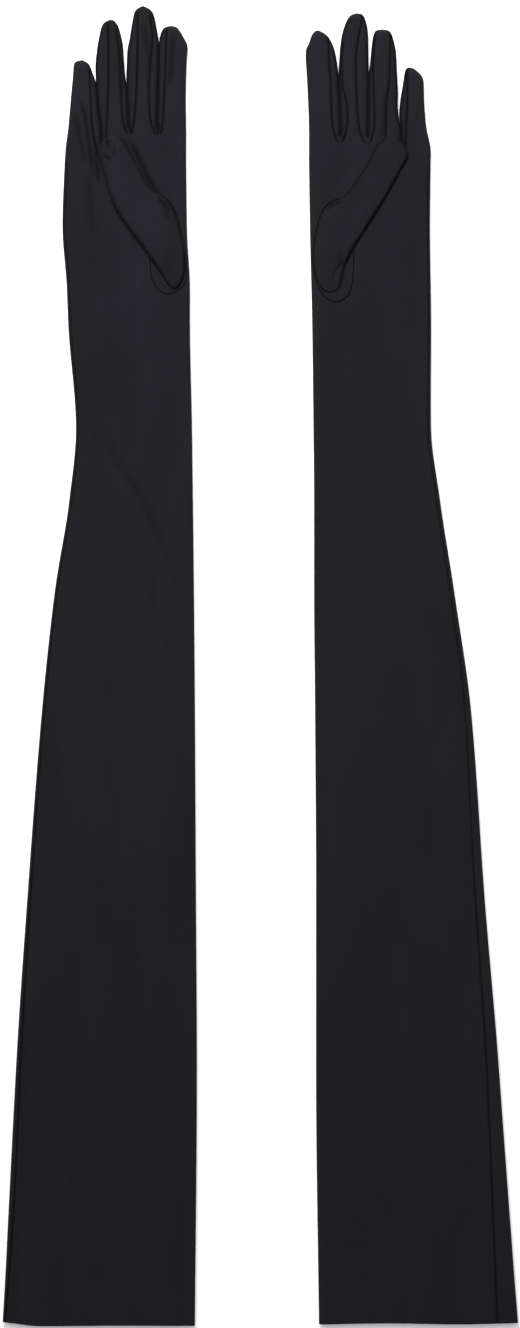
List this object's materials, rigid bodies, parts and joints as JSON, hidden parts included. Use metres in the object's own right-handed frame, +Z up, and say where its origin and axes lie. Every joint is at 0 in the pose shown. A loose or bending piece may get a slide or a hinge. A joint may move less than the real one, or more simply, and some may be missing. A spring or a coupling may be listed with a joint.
{
  "type": "opera gloves",
  "caption": "Pair of shoulder-length stretch jersey opera gloves lying flat, palms up, with fourchetted fingers that bend and a set-in thumb folded across each palm.",
  "frame": {"origin": "on the surface that the gloves lie on, under the middle of the pair", "axes": "+X from the right-hand glove to the left-hand glove, +Y from the hems to the fingertips, +Z up from the surface, towards the palms"},
  "size_m": [0.312, 0.8, 0.0121],
  "materials": {
    "jersey": "matt fine-gauge stretch knit",
    "thread": "matt sewing thread"
  },
  "bodies": {
    "left_glove": {"left_back_face": "jersey", "left_folded_edge": "jersey", "left_hem_turning": "jersey", "left_index_middle_crotch": "jersey", "left_middle_ring_crotch": "jersey", "left_palm_face": "jersey", "left_ring_little_crotch": "jersey", "left_seamed_edge": "jersey", "left_side_seam": "jersey", "left_thumb_base": "jersey", "left_thumb_hole_thread": "thread"},
    "left_index": {"left_index_fourchette_by_middle": "jersey", "left_index_stall": "jersey", "left_index_thread": "thread"},
    "left_little": {"left_little_fourchette_by_ring": "jersey", "left_little_stall": "jersey", "left_little_thread": "thread"},
    "left_middle": {"left_middle_fourchette_by_index": "jersey", "left_middle_fourchette_by_ring": "jersey", "left_middle_stall": "jersey", "left_middle_thread": "thread"},
    "left_ring": {"left_ring_fourchette_by_little": "jersey", "left_ring_fourchette_by_middle": "jersey", "left_ring_stall": "jersey", "left_ring_thread": "thread"},
    "left_thumb": {"left_thumb": "jersey", "left_thumb_thread": "thread"},
    "right_glove": {"right_back_face": "jersey", "right_folded_edge": "jersey", "right_hem_turning": "jersey", "right_index_middle_crotch": "jersey", "right_middle_ring_crotch": "jersey", "right_palm_face": "jersey", "right_ring_little_crotch": "jersey", "right_seamed_edge": "jersey", "right_side_seam": "jersey", "right_thumb_base": "jersey", "right_thumb_hole_thread": "thread"},
    "right_index": {"right_index_fourchette_by_middle": "jersey", "right_index_stall": "jersey", "right_index_thread": "thread"},
    "right_little": {"right_little_fourchette_by_ring": "jersey", "right_little_stall": "jersey", "right_little_thread": "thread"},
    "right_middle": {"right_middle_fourchette_by_index": "jersey", "right_middle_fourchette_by_ring": "jersey", "right_middle_stall": "jersey", "right_middle_thread": "thread"},
    "right_ring": {"right_ring_fourchette_by_little": "jersey", "right_ring_fourchette_by_middle": "jersey", "right_ring_stall": "jersey", "right_ring_thread": "thread"},
    "right_thumb": {"right_thumb": "jersey", "right_thumb_thread": "thread"}
  },
  "joints": [
    {"name": "left_glove_slide", "type": "slide", "parent": "right_glove", "child": "left_glove", "axis": [1, 0, 0], "range_m": [0, 0.15]},
    {"name": "right_index_bend", "type": "hinge", "parent": "right_glove", "child": "right_index", "pos_m": [-0.0535, 0.3254, 0.006], "axis": [1, 0, 0], "range_deg": [0, 90]},
    {"name": "right_middle_bend", "type": "hinge", "parent": "right_glove", "child": "right_middle", "pos_m": [-0.0711, 0.3254, 0.006], "axis": [1, 0, 0], "range_deg": [0, 90]},
    {"name": "right_ring_bend", "type": "hinge", "parent": "right_glove", "child": "right_ring", "pos_m": [-0.0881, 0.3254, 0.006], "axis": [1, 0, 0], "range_deg": [0, 90]},
    {"name": "right_little_bend", "type": "hinge", "parent": "right_glove", "child": "right_little", "pos_m": [-0.10675, 0.3254, 0.006], "axis": [1, 0, 0], "range_deg": [0, 90]},
    {"name": "right_thumb_turn", "type": "hinge", "parent": "right_glove", "child": "right_thumb", "pos_m": [-0.05562, 0.256, 0.0091], "axis": [0, 1, 0], "range_deg": [0, 150]},
    {"name": "left_index_bend", "type": "hinge", "parent": "left_glove", "child": "left_index", "pos_m": [0.038, 0.3254, 0.006], "axis": [1, 0, 0], "range_deg": [0, 90]},
    {"name": "left_middle_bend", "type": "hinge", "parent": "left_glove", "child": "left_middle", "pos_m": [0.0556, 0.3254, 0.006], "axis": [1, 0, 0], "range_deg": [0, 90]},
    {"name": "left_ring_bend", "type": "hinge", "parent": "left_glove", "child": "left_ring", "pos_m": [0.0726, 0.3254, 0.006], "axis": [1, 0, 0], "range_deg": [0, 90]},
    {"name": "left_little_bend", "type": "hinge", "parent": "left_glove", "child": "left_little", "pos_m": [0.09125, 0.3254, 0.006], "axis": [1, 0, 0], "range_deg": [0, 90]},
    {"name": "left_thumb_turn", "type": "hinge", "parent": "left_glove", "child": "left_thumb", "pos_m": [0.04155, 0.256, 0.0091], "axis": [0, -1, 0], "range_deg": [0, 150]}
  ]
}
